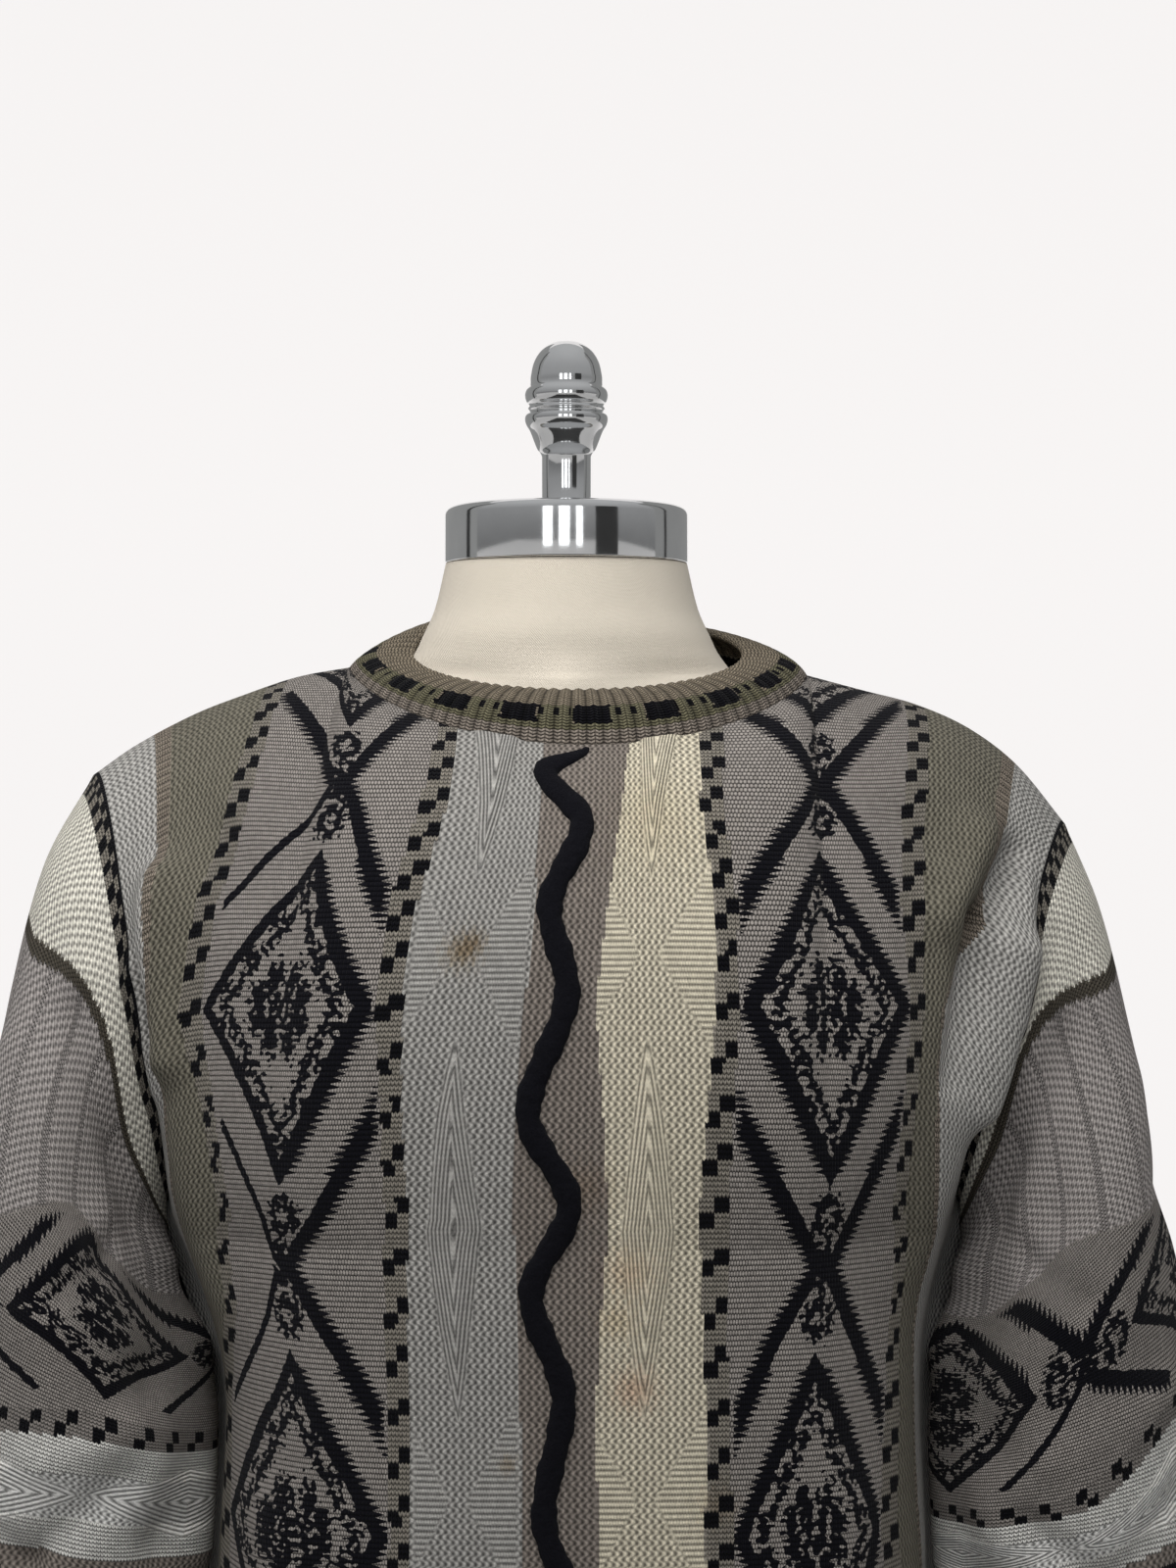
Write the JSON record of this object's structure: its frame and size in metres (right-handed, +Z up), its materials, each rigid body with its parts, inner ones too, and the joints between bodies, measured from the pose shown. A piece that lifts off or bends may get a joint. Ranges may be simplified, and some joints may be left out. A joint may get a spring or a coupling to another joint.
{
  "type": "knitted crew-neck sweater on a limbless dress form with stand",
  "caption": "Loose crew-neck sweater knitted in patterned vertical strips, worn by a limbless dress form with a chrome neck cap, acorn finial, pole and round base.",
  "frame": {"origin": "centre of the underside of the stand's round base, where it rests on the floor", "axes": "+Z up, -Y is where the sweater's front faces, +X is towards the right of the picture (the wearer's left)"},
  "size_m": [0.6352, 0.38, 1.5918],
  "materials": {
    "taupe_knit": "matt patterned knit",
    "olive_rib": "matt ribbed knit",
    "black_cord": "felted cord",
    "form_twill": "smooth cotton twill",
    "chrome": "polished"
  },
  "bodies": {
    "root": {"front": "taupe_knit", "back": "taupe_knit", "sleeve_left": "taupe_knit", "sleeve_right": "taupe_knit", "neckband": "olive_rib", "hem_rib": "olive_rib", "cuff_left": "olive_rib", "cuff_right": "olive_rib", "wavy_cord": "black_cord", "form_torso": "form_twill", "neck_cap": "chrome", "finial": "chrome", "stand_pole": "chrome", "stand_base": "chrome"}
  },
  "joints": []
}
